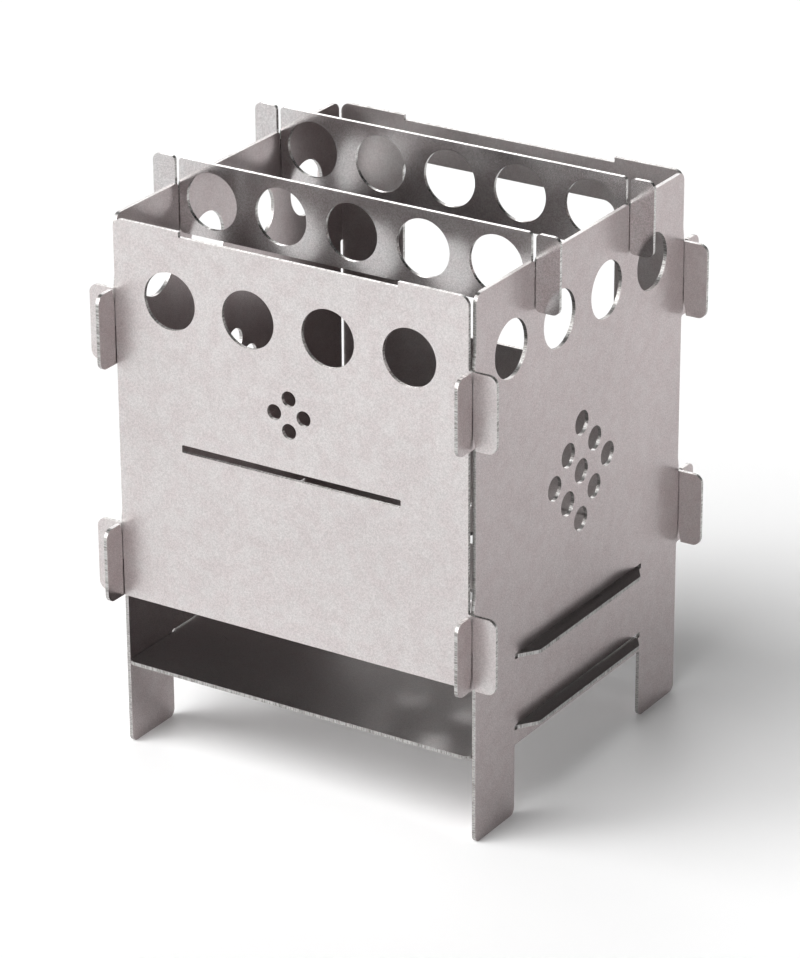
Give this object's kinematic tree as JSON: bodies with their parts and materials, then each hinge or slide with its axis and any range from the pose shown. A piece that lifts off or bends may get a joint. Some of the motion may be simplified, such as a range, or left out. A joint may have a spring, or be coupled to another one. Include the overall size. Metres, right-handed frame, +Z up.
{
  "type": "pocket stove",
  "caption": "Flat-packed wood-burning pocket stove of slotted titanium sheets: panels locked by lapped ears, a perforated grate, an ash pan and two perforated trivets.",
  "frame": {"origin": "on the floor, at the centre of the stove's bounding box", "axes": "+X towards the right panel, +Y towards the back panel, +Z up"},
  "size_m": [0.0976, 0.0966, 0.1255],
  "materials": {
    "titanium_panels": "tumbled satin titanium",
    "titanium_plates": "satin titanium",
    "titanium_trivets": "smooth satin titanium"
  },
  "bodies": {
    "stove_sides": {"left_panel": "titanium_panels", "right_panel": "titanium_panels", "fire_grate": "titanium_plates", "ash_pan": "titanium_plates"},
    "front_panel": {"front_panel": "titanium_panels"},
    "back_panel": {"back_panel": "titanium_panels"},
    "front_trivet": {"front_trivet": "titanium_trivets"},
    "rear_trivet": {"rear_trivet": "titanium_trivets"}
  },
  "joints": [
    {"name": "front_panel_lift", "type": "slide", "parent": "stove_sides", "child": "front_panel", "axis": [0, 0, 1], "range_m": [0, 0.035]},
    {"name": "back_panel_lift", "type": "slide", "parent": "stove_sides", "child": "back_panel", "axis": [0, 0, 1], "range_m": [0, 0.035]},
    {"name": "front_trivet_lift", "type": "slide", "parent": "stove_sides", "child": "front_trivet", "axis": [0, 0, 1], "range_m": [0, 0.025]},
    {"name": "rear_trivet_lift", "type": "slide", "parent": "stove_sides", "child": "rear_trivet", "axis": [0, 0, 1], "range_m": [0, 0.025]}
  ]
}
